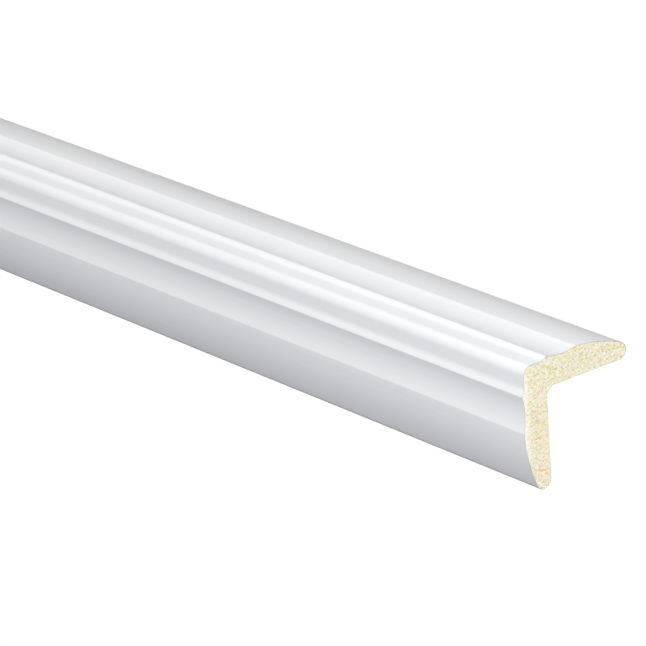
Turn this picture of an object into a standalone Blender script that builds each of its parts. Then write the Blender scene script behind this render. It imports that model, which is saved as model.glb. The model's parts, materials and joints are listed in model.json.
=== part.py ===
"""Outside corner moulding: a length of softwood machined to an L-shaped section and primed white.

Both legs carry the same profile, so the section is symmetric about its diagonal. From the rounded outer corner,
each leg has a narrow flat, a riser up to a sharp crest, a shallow cove, an arris, and a long crown that runs down
to the rounded toe. The inner faces are plain and flat, with a chamfer between them, and lie on the wall.

The length runs along Y, one leg lies on top and reaches towards +X, and the other hangs down. The origin is the
centre of the top leg's inner face, halfway along.
"""

import math

import bmesh
import bpy

for old in list(bpy.data.objects):
    bpy.data.objects.remove(old, do_unlink=True)

# Driving dimensions, in metres. "Along" is measured from the outermost plane of the other leg, and "down" is
# measured into the wood from the leg's own outermost plane.
LENGTH = 0.250
LEG = 0.028575
THICKNESS = 0.00665
NOSE_RADIUS = 0.0020
NOSE_SINK = 0.00064
RISER_RADIUS = 0.0030
RISER_SLOPE = math.radians(24)
CREST_ALONG = 0.00695
COVE_DEPTH = 0.00050
ARRIS_ALONG = 0.0150
ARRIS_SINK = 0.00004
CROWN_START_SLOPE = math.radians(3.2)
TOE_RADIUS = 0.00195
INNER_CHAMFER = 0.00155

# The most that a facet may lie from the true curve, and the smallest turn that shades as a sharp edge.
FACET_SAG = 0.000002
SHARP_ANGLE = math.radians(12)

QUARTER = math.pi / 2


def arc(centre, radius, start, end):
    """Points along an arc, both ends included, in facets no further than FACET_SAG from the curve."""
    facet = 2 * math.acos(1 - FACET_SAG / radius)
    steps = math.ceil(abs(end - start) / facet)
    angles = [start + (end - start) * i / steps for i in range(steps + 1)]
    return [(centre[0] + radius * math.cos(a), centre[1] + radius * math.sin(a)) for a in angles]


def nose():
    """Half of the rounded outer corner, from the diagonal to the leg's narrow flat."""
    middle = NOSE_SINK + NOSE_RADIUS
    return arc((middle, middle), NOSE_RADIUS, -1.5 * QUARTER, -QUARTER)


def riser():
    """The hollow that lifts off the narrow flat, and the straight slope from it up to the crest."""
    hollow_rise = RISER_RADIUS * (1 - math.cos(RISER_SLOPE))
    straight_run = (NOSE_SINK - hollow_rise) / math.tan(RISER_SLOPE)
    hollow_start = CREST_ALONG - straight_run - RISER_RADIUS * math.sin(RISER_SLOPE)
    centre = (hollow_start, NOSE_SINK - RISER_RADIUS)
    return arc(centre, RISER_RADIUS, QUARTER, QUARTER - RISER_SLOPE)


def cove():
    """The shallow hollow from the crest to the arris."""
    run = ARRIS_ALONG - CREST_ALONG
    chord = math.hypot(run, ARRIS_SINK)
    tilt = math.atan2(ARRIS_SINK, run)
    radius = chord**2 / (8 * COVE_DEPTH) + COVE_DEPTH / 2
    half = math.asin(chord / 2 / radius)
    rise = radius - COVE_DEPTH
    centre = (
        (CREST_ALONG + ARRIS_ALONG) / 2 + rise * math.sin(tilt),
        ARRIS_SINK / 2 - rise * math.cos(tilt),
    )
    return arc(centre, radius, QUARTER + tilt + half, QUARTER + tilt - half)


def crown_and_toe():
    """The long crown, which leaves the arris at its own slope and runs tangent into the rounded toe."""
    toe = (LEG - TOE_RADIUS, THICKNESS - TOE_RADIUS)
    into_wood = (-math.sin(CROWN_START_SLOPE), math.cos(CROWN_START_SLOPE))
    to_arris = (ARRIS_ALONG - toe[0], ARRIS_SINK - toe[1])
    reach = into_wood[0] * to_arris[0] + into_wood[1] * to_arris[1] + TOE_RADIUS
    radius = (TOE_RADIUS**2 - to_arris[0] ** 2 - to_arris[1] ** 2) / (2 * reach)
    centre = (ARRIS_ALONG + radius * into_wood[0], ARRIS_SINK + radius * into_wood[1])
    tangent = math.atan2(toe[1] - centre[1], toe[0] - centre[0])
    crown = arc(centre, radius, CROWN_START_SLOPE - QUARTER, tangent)
    return crown + arc(toe, TOE_RADIUS, tangent, QUARTER)[1:]


def leg_outline():
    """One leg's outline as (along, down), from the diagonal at the nose round to the inner chamfer."""
    chamfer_start = (THICKNESS + INNER_CHAMFER, THICKNESS)
    return nose() + riser() + cove() + crown_and_toe()[1:] + [chamfer_start]


def section_outline():
    """The whole section: the top leg, then its mirror image in the diagonal, back to the nose."""
    top = leg_outline()
    hanging = [(down, along) for along, down in reversed(top[1:])]
    return top + hanging


def moulding_mesh():
    """The section, extruded over the length between two square cuts."""
    face_middle = (THICKNESS + INNER_CHAMFER + LEG - TOE_RADIUS) / 2
    work = bmesh.new()
    corners = [
        work.verts.new((along - face_middle, -LENGTH / 2, THICKNESS - down))
        for along, down in section_outline()
    ]
    near_cut = work.faces.new(corners)
    grown = bmesh.ops.extrude_face_region(work, geom=[near_cut], use_keep_orig=True)
    far_corners = [item for item in grown["geom"] if isinstance(item, bmesh.types.BMVert)]
    bmesh.ops.translate(work, verts=far_corners, vec=(0, LENGTH, 0))
    bmesh.ops.recalc_face_normals(work, faces=work.faces)
    for face in work.faces:
        face.material_index = 1 if abs(face.normal.y) > 0.5 else 0
    mesh = bpy.data.meshes.new("corner_moulding")
    work.to_mesh(mesh)
    work.free()
    mesh.shade_smooth()
    mesh.set_sharp_from_angle(angle=SHARP_ANGLE)
    return mesh


def finish(name, colour, roughness):
    """A plain finish of one colour."""
    material = bpy.data.materials.new(name)
    material.use_nodes = True
    surface = material.node_tree.nodes["Principled BSDF"]
    surface.inputs["Base Color"].default_value = (*colour, 1)
    surface.inputs["Roughness"].default_value = roughness
    surface.inputs["Metallic"].default_value = 0
    return material


moulding = bpy.data.objects.new("corner_moulding", moulding_mesh())
moulding.data.materials.append(finish("white_primer", (0.88, 0.88, 0.89), 0.45))
moulding.data.materials.append(finish("cut_pine", (0.88, 0.82, 0.62), 0.75))
bpy.context.scene.collection.objects.link(moulding)
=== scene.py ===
"""Outside corner moulding: pine machined to an L-shaped section, primed white, with square sawn ends."""

import json
import math

import bmesh
import bpy
import numpy as np
from mathutils import Euler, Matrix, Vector, noise
from mathutils.geometry import delaunay_2d_cdt


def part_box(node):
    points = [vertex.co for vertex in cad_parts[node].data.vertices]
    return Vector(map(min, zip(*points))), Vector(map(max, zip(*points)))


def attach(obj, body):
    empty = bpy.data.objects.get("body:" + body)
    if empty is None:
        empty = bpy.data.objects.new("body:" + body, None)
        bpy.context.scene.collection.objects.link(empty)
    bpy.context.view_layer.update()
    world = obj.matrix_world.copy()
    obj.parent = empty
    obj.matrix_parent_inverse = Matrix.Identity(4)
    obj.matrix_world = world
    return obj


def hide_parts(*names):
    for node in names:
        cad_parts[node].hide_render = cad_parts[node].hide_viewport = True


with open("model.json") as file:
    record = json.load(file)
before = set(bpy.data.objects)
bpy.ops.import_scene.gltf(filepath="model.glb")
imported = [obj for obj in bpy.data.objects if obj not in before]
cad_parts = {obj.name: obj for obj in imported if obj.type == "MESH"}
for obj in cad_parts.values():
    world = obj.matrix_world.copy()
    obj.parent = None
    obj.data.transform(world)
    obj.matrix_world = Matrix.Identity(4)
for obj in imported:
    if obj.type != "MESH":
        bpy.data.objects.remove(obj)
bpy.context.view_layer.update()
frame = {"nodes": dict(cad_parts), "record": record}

# The moulding. The real one comes off a moulder as one long pine stick, so it is the section of the packed
# solid swept over the length, with every machined corner eased by its coat of sprayed primer. It is cut
# square with a fine saw, which leaves faint arcs, open pores and the bare grain at both ends.
NODE = "corner_moulding"
MM = 0.001
WELD = 0.001 * MM
TOUCH = 0.01 * MM
EASED_RADIUS = 0.10 * MM
EASED_POINTS = 2
RINGS = 40
SHARP_ANGLE = math.radians(25)

low, high = (Vector(corner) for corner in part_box(NODE))
hanging_mount = frame["record"]["mounts"][1]
inner_x = hanging_mount["pos_m"][0]


def on_back(x, z):
    """True on the flat faces that lie on the wall, and on the chamfer between them."""
    return z < TOUCH and x > inner_x - TOUCH


def loop_round(edges):
    """The corners of a closed chain of edges, in order."""
    beside = {}
    for edge in edges:
        for v in edge.verts:
            beside.setdefault(v, []).append(edge.other_vert(v))
    start = next(iter(beside))
    loop, previous, here = [start], start, beside[start][0]
    while here is not start:
        loop.append(here)
        previous, here = here, next(v for v in beside[here] if v is not previous)
    return loop


def section_wire():
    """The solid's near cut as a flat wire. The sweep turns the wire's Y into the moulding's -Z."""
    work = bmesh.new()
    work.from_mesh(frame["nodes"][NODE].data)
    bmesh.ops.remove_doubles(work, verts=work.verts, dist=WELD)
    rim = [
        edge
        for edge in work.edges
        if all(v.co.y < low.y + MM for v in edge.verts)
        and sum(abs(f.normal.y) > 0.5 for f in edge.link_faces) == 1
    ]
    points = [(v.co.x, -v.co.z, 0) for v in loop_round(rim)]
    work.free()
    wire = bpy.data.meshes.new("section_wire")
    count = len(points)
    wire.from_pydata(points, [(i, (i + 1) % count) for i in range(count)], [])
    return wire


def sweep_tree():
    """Eases the corners of a closed wire and sweeps it along Y from Start to End."""
    tree = bpy.data.node_groups.new("moulder_sweep", "GeometryNodeTree")
    sockets = tree.interface
    sockets.new_socket("Section", in_out="INPUT", socket_type="NodeSocketGeometry")
    sockets.new_socket("Start", in_out="INPUT", socket_type="NodeSocketFloat")
    sockets.new_socket("End", in_out="INPUT", socket_type="NodeSocketFloat")
    sockets.new_socket("Eased radius", in_out="INPUT", socket_type="NodeSocketFloat")
    sockets.new_socket("Rings", in_out="INPUT", socket_type="NodeSocketInt")
    sockets.new_socket("Finish", in_out="INPUT", socket_type="NodeSocketMaterial")
    sockets.new_socket("Moulding", in_out="OUTPUT", socket_type="NodeSocketGeometry")
    given = tree.nodes.new("NodeGroupInput")
    wire = tree.nodes.new("GeometryNodeMeshToCurve")
    ease = tree.nodes.new("GeometryNodeFilletCurve")
    near = tree.nodes.new("ShaderNodeCombineXYZ")
    far = tree.nodes.new("ShaderNodeCombineXYZ")
    path = tree.nodes.new("GeometryNodeCurvePrimitiveLine")
    spaced = tree.nodes.new("GeometryNodeResampleCurve")
    swept = tree.nodes.new("GeometryNodeCurveToMesh")
    realized = tree.nodes.new("GeometryNodeRealizeInstances")
    finished = tree.nodes.new("GeometryNodeSetMaterial")
    result = tree.nodes.new("NodeGroupOutput")
    ease.mode = "POLY"
    ease.inputs["Count"].default_value = EASED_POINTS
    ease.inputs["Limit Radius"].default_value = True
    link = tree.links.new
    link(given.outputs["Section"], wire.inputs["Mesh"])
    link(wire.outputs["Curve"], ease.inputs["Curve"])
    link(given.outputs["Eased radius"], ease.inputs["Radius"])
    link(given.outputs["Start"], near.inputs["Y"])
    link(given.outputs["End"], far.inputs["Y"])
    link(near.outputs["Vector"], path.inputs["Start"])
    link(far.outputs["Vector"], path.inputs["End"])
    link(path.outputs["Curve"], spaced.inputs["Curve"])
    link(given.outputs["Rings"], spaced.inputs["Count"])
    link(spaced.outputs["Curve"], swept.inputs["Curve"])
    link(ease.outputs["Curve"], swept.inputs["Profile Curve"])
    link(swept.outputs["Mesh"], realized.inputs["Geometry"])
    link(realized.outputs["Geometry"], finished.inputs["Geometry"])
    link(given.outputs["Finish"], finished.inputs["Material"])
    link(finished.outputs["Geometry"], result.inputs["Moulding"])
    return tree


def grown(base, tree, values):
    """The plain mesh that a tree makes from a base mesh, its named inputs set by identifier."""
    maker = bpy.data.objects.new("maker", base)
    bpy.context.scene.collection.objects.link(maker)
    modifier = maker.modifiers.new("made", "NODES")
    modifier.node_group = tree
    inputs = (item for item in tree.interface.items_tree if item.in_out == "INPUT")
    identifiers = {item.name: item.identifier for item in inputs}
    for label, value in values.items():
        modifier[identifiers[label]] = value
    seen = maker.evaluated_get(bpy.context.evaluated_depsgraph_get())
    mesh = bpy.data.meshes.new_from_object(seen)
    maker.modifiers.clear()
    bpy.data.objects.remove(maker)
    return mesh


def node(tree, kind, settings=None, inputs=None):
    """One node, with its settings and its inputs, each a value or another node's output."""
    made = tree.nodes.new(kind)
    for label, value in (settings or {}).items():
        setattr(made, label, value)
    for label, value in (inputs or {}).items():
        if isinstance(value, bpy.types.NodeSocket):
            tree.links.new(value, made.inputs[label])
        else:
            made.inputs[label].default_value = value
    return made


def ramp(tree, factor, stops):
    """A colour ramp through (position, grey or colour) stops."""
    made = node(tree, "ShaderNodeValToRGB", inputs={"Fac": factor})
    points = made.color_ramp.elements
    while len(points) < len(stops):
        points.new(0.5)
    for point, (position, colour) in zip(points, stops):
        point.position = position
        point.color = (*colour, 1) if isinstance(colour, tuple) else (colour, colour, colour, 1)
    return made.outputs["Color"]


def mixed(tree, factor, first, second, blend="MIX"):
    """Two colours mixed by a factor."""
    made = node(tree, "ShaderNodeMix", {"data_type": "RGBA", "blend_type": blend})
    for socket, value in ((made.inputs[0], factor), (made.inputs[6], first), (made.inputs[7], second)):
        if isinstance(value, bpy.types.NodeSocket):
            tree.links.new(value, socket)
        else:
            socket.default_value = (*value, 1) if isinstance(value, tuple) else value
    return made.outputs[2]


def bump(tree, strength, rise, height, under=None):
    """Normals for a raised pattern, laid over the normals of another one where that is given."""
    inputs = {"Strength": strength, "Distance": rise, "Height": height}
    if under:
        inputs["Normal"] = under
    return node(tree, "ShaderNodeBump", inputs=inputs).outputs["Normal"]


def stretched_noise():
    """A shader group: grey noise on Object coordinates, stretched by its own scale along each axis."""
    tree = bpy.data.node_groups.new("stretched_noise", "ShaderNodeTree")
    tree.interface.new_socket("Scale", in_out="INPUT", socket_type="NodeSocketVector")
    tree.interface.new_socket("Distortion", in_out="INPUT", socket_type="NodeSocketFloat")
    tree.interface.new_socket("Value", in_out="OUTPUT", socket_type="NodeSocketFloat")
    given = tree.nodes.new("NodeGroupInput")
    place = tree.nodes.new("ShaderNodeTexCoord")
    stretched = node(
        tree,
        "ShaderNodeVectorMath",
        {"operation": "MULTIPLY"},
        {0: place.outputs["Object"], 1: given.outputs["Scale"]},
    )
    grain = node(
        tree,
        "ShaderNodeTexNoise",
        inputs={
            "Vector": stretched.outputs["Vector"],
            "Scale": 1.0,
            "Detail": 3.0,
            "Distortion": given.outputs["Distortion"],
        },
    )
    result = tree.nodes.new("NodeGroupOutput")
    tree.links.new(grain.outputs["Fac"], result.inputs["Value"])
    return tree


NOISE = stretched_noise()


def pattern(tree, scale, distortion=0.0):
    """The shared noise, at so many cycles a metre along X, Y and Z."""
    made = tree.nodes.new("ShaderNodeGroup")
    made.node_tree = NOISE
    made.inputs["Scale"].default_value = scale
    made.inputs["Distortion"].default_value = distortion
    return made.outputs["Value"]


def new_finish(name):
    """A new material, its node tree and its surface shader."""
    material = bpy.data.materials.new(name)
    material.use_nodes = True
    return material, material.node_tree, material.node_tree.nodes["Principled BSDF"]


STREAK_RISE = 0.02 * MM
STIPPLE_RISE = 0.015 * MM


def white_primer():
    """Sprayed satin primer: white, with faint knife streaks along the length, a fine stipple and whiter
    cloudy patches of painted sheen.
    """
    material, tree, surface = new_finish("white_primer")
    streak = pattern(tree, (2600, 9, 2600))
    sheen_and_roughness_cloud = pattern(tree, (60, 14, 60))
    stipple = pattern(tree, (2400, 2400, 2400))
    tone = ramp(tree, streak, [(0.30, (0.845, 0.850, 0.862)), (0.70, (0.875, 0.878, 0.886))])
    # Whiter cloudy patches are mixed into the colour as a painted hazy reflection; the same cloud also
    # varies the roughness.
    painted_sheen_tone = mixed(tree, ramp(tree, sheen_and_roughness_cloud, [(0.35, 0.0), (0.75, 0.35)]), tone, (0.895, 0.896, 0.900))
    tree.links.new(painted_sheen_tone, surface.inputs["Base Color"])
    tree.links.new(ramp(tree, sheen_and_roughness_cloud, [(0.3, 0.40), (0.7, 0.50)]), surface.inputs["Roughness"])
    streaked = bump(tree, 0.10, STREAK_RISE, streak)
    stippled = bump(tree, 0.12, STIPPLE_RISE, stipple, streaked)
    tree.links.new(stippled, surface.inputs["Normal"])
    surface.inputs["Specular IOR Level"].default_value = 0.35
    return material


KNIFE_MARKS = 180.0
KNIFE_RISE = 0.02 * MM
PLANED_GRAIN_RISE = 0.03 * MM


def primed_back():
    """Planed pine under one thin, uneven pass of primer."""
    material, tree, surface = new_finish("primed_back")
    grain = pattern(tree, (900, 7, 900), 0.4)
    cover = pattern(tree, (130, 22, 130))
    place = tree.nodes.new("ShaderNodeTexCoord")
    knives = node(
        tree,
        "ShaderNodeTexWave",
        {"bands_direction": "Y"},
        {"Vector": place.outputs["Object"], "Scale": KNIFE_MARKS},
    )
    pine = ramp(tree, grain, [(0.35, (0.80, 0.66, 0.43)), (0.65, (0.88, 0.79, 0.58))])
    coated = mixed(tree, ramp(tree, cover, [(0.30, 0.62), (0.62, 0.90)]), pine, (0.86, 0.86, 0.85))
    tree.links.new(coated, surface.inputs["Base Color"])
    surface.inputs["Roughness"].default_value = 0.62
    rippled = bump(tree, 0.15, KNIFE_RISE, knives.outputs["Fac"])
    raised = bump(tree, 0.25, PLANED_GRAIN_RISE, grain, rippled)
    tree.links.new(raised, surface.inputs["Normal"])
    return material


DASHES_NONE_AT = 6 * MM
DASHES_FULL_AT = -6 * MM
SMEAR_WIDTH = 2.2 * MM
FIBRE_RISE = 0.03 * MM


def sawn_pine():
    """Bare softwood across the grain: cream and pinkish, with olive flecks, and ochre dashes lower down.

    A little primer is smeared over it beside the hanging leg's outer face.
    """
    material, tree, surface = new_finish("sawn_pine")
    mottle = pattern(tree, (1500, 40, 1900), 0.6)
    blush = pattern(tree, (480, 40, 700))
    fleck = pattern(tree, (1900, 40, 3000), 0.9)
    ochre = pattern(tree, (420, 40, 1900), 0.8)
    place = tree.nodes.new("ShaderNodeTexCoord")
    parts = node(tree, "ShaderNodeSeparateXYZ", inputs={0: place.outputs["Object"]})
    cream = [(0.34, (0.68, 0.63, 0.38)), (0.47, (0.80, 0.75, 0.56)), (0.60, (0.86, 0.84, 0.75))]
    base = ramp(tree, mottle, cream)
    pink = mixed(tree, ramp(tree, blush, [(0.46, 0.0), (0.60, 0.75)]), base, (0.82, 0.75, 0.70))
    olive = mixed(tree, ramp(tree, fleck, [(0.53, 0.0), (0.62, 0.95)]), pink, (0.60, 0.54, 0.15))
    lower_down = node(
        tree,
        "ShaderNodeMapRange",
        inputs={
            "Value": parts.outputs["Z"],
            "From Min": DASHES_NONE_AT,
            "From Max": DASHES_FULL_AT,
            "To Max": 0.9,
        },
    )
    dash = ramp(tree, ochre, [(0.58, 0.0), (0.64, 1.0)])
    dashes = mixed(tree, 1.0, dash, lower_down.outputs[0], "MULTIPLY")
    warm = mixed(tree, dashes, olive, (0.80, 0.52, 0.17))
    smeared = node(
        tree,
        "ShaderNodeMapRange",
        inputs={
            "Value": parts.outputs["X"],
            "From Min": low.x + SMEAR_WIDTH,
            "From Max": low.x,
            "To Max": 0.75,
        },
    )
    final = mixed(tree, smeared.outputs[0], warm, (0.95, 0.95, 0.91))
    tree.links.new(final, surface.inputs["Base Color"])
    surface.inputs["Roughness"].default_value = 0.8
    surface.inputs["Specular IOR Level"].default_value = 0.2
    tree.links.new(bump(tree, 0.4, FIBRE_RISE, fleck), surface.inputs["Normal"])
    return material


def coat_edge_painted_shade():
    """The coat's own edge where the saw went through it, coloured as a thin greyish line round the end
    grain: painted shade along the rim of the cut.
    """
    material, tree, surface = new_finish("coat_edge_painted_shade")
    smear = pattern(tree, (900, 900, 900))
    tone = ramp(tree, smear, [(0.35, (0.38, 0.41, 0.33)), (0.65, (0.66, 0.67, 0.60))])
    tree.links.new(tone, surface.inputs["Base Color"])
    surface.inputs["Roughness"].default_value = 0.7
    return material


COAT = 0.13 * MM
COAT_RING_SHARE = 0.9
GRAIN_STEP = 0.15 * MM
GRAIN_JITTER = 0.3
GRAIN_CLEARANCE = 0.3
GRAIN_SEED = 7
BATCHES = 40
MERGE_DISTANCE = 1e-5
END_RECESS = 0.03 * MM
SAW_PITCH = 1.1 * MM
SAW_DEPTH = 0.012 * MM
SAW_RADIUS = 125 * MM
SAW_CENTRE = (-0.6 * SAW_RADIUS, 0.8 * SAW_RADIUS)
PORE_SIZE = 0.55 * MM
PORE_FLATNESS = 1.6
PORE_START = 0.15
PORE_DEPTH = 0.07 * MM
FUZZ_PER_MM = 4.1
FUZZ_LAYER = 9.0
FUZZ_DEPTH = 0.012 * MM
PRIMER_SLOT, BACK_SLOT, PINE_SLOT, COAT_EDGE_SHADE_SLOT = range(4)


def end_depth(x, z):
    """How far the saw left the end grain below the true cut: blade arcs, open pores and torn fibre."""
    arc = math.hypot(x - SAW_CENTRE[0], z - SAW_CENTRE[1])
    saw = SAW_DEPTH * (0.5 + 0.5 * math.sin(math.tau * arc / SAW_PITCH))
    pore = noise.noise((x / PORE_SIZE, z / PORE_SIZE * PORE_FLATNESS, 0.0))
    fuzz = noise.noise((x / MM * FUZZ_PER_MM, z / MM * FUZZ_PER_MM, FUZZ_LAYER))
    return END_RECESS + saw + PORE_DEPTH * max(0.0, pore - PORE_START) + FUZZ_DEPTH * fuzz


def edge_distance(points, corners, along):
    """Each point's distance to the nearest stretch of the outline, worked out in batches."""
    found = []
    for part in np.array_split(points, BATCHES):
        to = part[:, None, :] - corners
        share = np.clip(np.einsum("ijk,jk->ij", to, along) / np.sum(along * along, axis=1), 0, 1)
        found.append(np.linalg.norm(to - share[:, :, None] * along, axis=2).min(axis=1))
    return np.concatenate(found)


def coat_line(corners, along):
    """The outline moved inwards by the coat's thickness."""
    following = corners + along
    area = np.sum(corners[:, 0] * following[:, 1] - following[:, 0] * corners[:, 1])
    normals = np.stack([-along[:, 1], along[:, 0]], axis=1) * np.sign(area)
    normals /= np.linalg.norm(normals, axis=1)[:, None]
    return corners + (normals + np.roll(normals, 1, axis=0)) / 2 * COAT / MM


def grain_points(corners, along):
    """Loosely gridded points over the outline's box, clear of the coat's edge on either side."""
    step = GRAIN_STEP / MM
    draws = np.random.default_rng(GRAIN_SEED)
    across, up = np.meshgrid(
        np.arange(corners[:, 0].min(), corners[:, 0].max(), step),
        np.arange(corners[:, 1].min(), corners[:, 1].max(), step),
    )
    grains = np.stack([across.ravel(), up.ravel()], axis=1)
    grains += draws.uniform(-GRAIN_JITTER, GRAIN_JITTER, grains.shape) * step
    return grains[edge_distance(grains, corners, along) > COAT / MM + step * GRAIN_CLEARANCE]


def sawn_end(work, rim, plane, inward):
    """Closes one end with a fine face that carries the saw's marks, inside a thin ring of cut coat that
    carries the painted shade line.

    The outline is worked on in millimetres. Triangulating keeps only what lies inside it.
    """
    outline = [Vector((v.co.x / MM, v.co.z / MM)) for v in rim]
    corners = np.array([(p.x, p.y) for p in outline])
    along = np.roll(corners, -1, axis=0) - corners
    count = len(corners)
    inner = [Vector(p) for p in coat_line(corners, along)]
    points = outline + inner + [Vector(p) for p in grain_points(corners, along)]
    edges = [(i, (i + 1) % count) for i in range(count)]
    edges += [(count + i, count + (i + 1) % count) for i in range(count)]
    placed, _, faces, origins, _, _ = delaunay_2d_cdt(
        points, edges, [list(range(count))], 1, MERGE_DISTANCE
    )
    made = []
    for point, sources in zip(placed, origins):
        own = [i for i in sources if i < count]
        if own:
            made.append(rim[own[0]])
        else:
            x, z = point.x * MM, point.y * MM
            made.append(work.verts.new((x, plane + inward * end_depth(x, z), z)))
    middles = np.array([np.mean([placed[i] for i in f], axis=0) for f in faces])
    reach = edge_distance(middles, corners, along)
    for corner_ids, distance in zip(faces, reach):
        verts = [made[i] for i in corner_ids]
        if len(set(verts)) < 3:
            continue
        face = work.faces.new(verts)
        # The ring of faces in the coat's thickness takes the grey painted shade line.
        in_ring = distance < COAT / MM * COAT_RING_SHARE
        face.material_index = COAT_EDGE_SHADE_SLOT if in_ring else PINE_SLOT
        face.smooth = True


primer = white_primer()
swept = grown(
    section_wire(),
    sweep_tree(),
    {
        "Start": low.y,
        "End": high.y,
        "Eased radius": EASED_RADIUS,
        "Rings": RINGS,
        "Finish": primer,
    },
)
body = bmesh.new()
body.from_mesh(swept)
for face in body.faces:
    middle = face.calc_center_median()
    face.material_index = BACK_SLOT if on_back(middle.x, middle.z) else PRIMER_SLOT
    face.smooth = True
for plane, inward in ((low.y, 1), (high.y, -1)):
    open_edges = [e for e in body.edges if e.is_boundary and abs(e.verts[0].co.y - plane) < TOUCH]
    sawn_end(body, loop_round(open_edges), plane, inward)
stray = [v for v in body.verts if not v.link_faces]
bmesh.ops.delete(body, geom=stray, context="VERTS")
bmesh.ops.recalc_face_normals(body, faces=body.faces)
mesh = bpy.data.meshes.new("primed_moulding")
body.to_mesh(mesh)
body.free()
for finish in (primer, primed_back(), sawn_pine(), coat_edge_painted_shade()):
    mesh.materials.append(finish)
mesh.set_sharp_from_angle(angle=SHARP_ANGLE)
moulding = bpy.data.objects.new("primed_moulding", mesh)
bpy.context.scene.collection.objects.link(moulding)
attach(moulding, "root")
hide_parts(NODE)

# The studio. A plain white floor lies well below, so that no shadow is near the moulding. A large soft key
# light stands in front of it on the left, and a weaker fill light above it on the right. The surroundings
# look white to the camera, but they light the moulding only faintly.
FLOOR_DROP = 0.9
FLOOR_SIZE = 14
FLOOR_TINT = (0.22, 0.24, 0.28, 1)
KEY_PLACE = Vector((-1.325, -1.73, 1.22))
KEY_SIZE = 1.3
KEY_POWER = 86.5
FILL_PLACE = Vector((1.5, -0.5, 1.875))
FILL_SIZE = 1.6
FILL_POWER = 24
SKY_LIGHT = 0.12
SKY_HEIGHT = 0.6
GROUND_LIGHT = 0.04
GROUND_TINT = (GROUND_LIGHT, GROUND_LIGHT, GROUND_LIGHT * 1.08)

floor_mesh = bpy.data.meshes.new("floor")
half_floor = FLOOR_SIZE / 2
floor_mesh.from_pydata(
    [(x * half_floor, y * half_floor, -FLOOR_DROP) for x, y in ((-1, -1), (1, -1), (1, 1), (-1, 1))],
    [],
    [(0, 1, 2, 3)],
)
floor_finish, floor_tree, floor_surface = new_finish("studio_floor")
floor_surface.inputs["Base Color"].default_value = FLOOR_TINT
floor_surface.inputs["Roughness"].default_value = 0.9
path = floor_tree.nodes.new("ShaderNodeLightPath")
side = floor_tree.nodes.new("ShaderNodeNewGeometry")
glow = node(floor_tree, "ShaderNodeEmission", inputs={"Color": (1, 1, 1, 1), "Strength": 1.0})
clear = floor_tree.nodes.new("ShaderNodeBsdfTransparent")
seen = node(
    floor_tree,
    "ShaderNodeMixShader",
    inputs={0: path.outputs["Is Camera Ray"], 1: floor_surface.outputs["BSDF"], 2: glow.outputs[0]},
)
shown = node(
    floor_tree,
    "ShaderNodeMixShader",
    inputs={0: side.outputs["Backfacing"], 1: seen.outputs[0], 2: clear.outputs[0]},
)
floor_tree.links.new(shown.outputs[0], floor_tree.nodes["Material Output"].inputs["Surface"])
floor_mesh.materials.append(floor_finish)
floor = bpy.data.objects.new("floor", floor_mesh)
bpy.context.scene.collection.objects.link(floor)

surroundings = bpy.data.worlds.new("white_surroundings")
surroundings.use_nodes = True
sky = surroundings.node_tree
direction = sky.nodes.new("ShaderNodeTexCoord")
height = node(sky, "ShaderNodeSeparateXYZ", inputs={0: direction.outputs["Generated"]})
shade = ramp(sky, height.outputs["Z"], [(0.0, GROUND_TINT), (SKY_HEIGHT, SKY_LIGHT)])
looked_at = sky.nodes.new("ShaderNodeLightPath")
lit = mixed(sky, looked_at.outputs["Is Camera Ray"], shade, (1.0, 1.0, 1.0))
sky.links.new(lit, sky.nodes["Background"].inputs["Color"])
bpy.context.scene.world = surroundings


def soft_light(name, place, size, power):
    """A square soft light that faces the moulding."""
    data = bpy.data.lights.new(name, "AREA")
    data.shape = "SQUARE"
    data.size = size
    data.energy = power
    light = bpy.data.objects.new(name, data)
    light.location = place
    light.rotation_euler = (-place).to_track_quat("-Z", "Y").to_euler()
    bpy.context.scene.collection.objects.link(light)


soft_light("key", KEY_PLACE, KEY_SIZE, KEY_POWER)
soft_light("fill", FILL_PLACE, FILL_SIZE, FILL_POWER)

# The camera. It stands above and to the left of the near end and looks along the moulding with a long lens.
# Its place, aim and lens were fitted to the outline of the cut end and to the moulding's long lines.
CAMERA_PLACE = Vector((-0.5272, -0.7305, 0.3216))
CAMERA_AZIMUTH = math.radians(-37.265)
CAMERA_ELEVATION = math.radians(20.95)
CAMERA_ROLL = math.radians(-4.08)
CAMERA_LENS = 235.2

camera_data = bpy.data.cameras.new("camera")
camera_data.lens = CAMERA_LENS
camera_data.clip_start = 0.01
camera = bpy.data.objects.new("camera", camera_data)
camera.location = CAMERA_PLACE
aim = Euler((math.pi / 2 - CAMERA_ELEVATION, 0, CAMERA_AZIMUTH)).to_matrix()
camera.rotation_euler = (aim @ Euler((0, 0, CAMERA_ROLL)).to_matrix()).to_euler()
bpy.context.scene.collection.objects.link(camera)
bpy.context.scene.camera = camera
bpy.context.scene.view_settings.view_transform = "Standard"
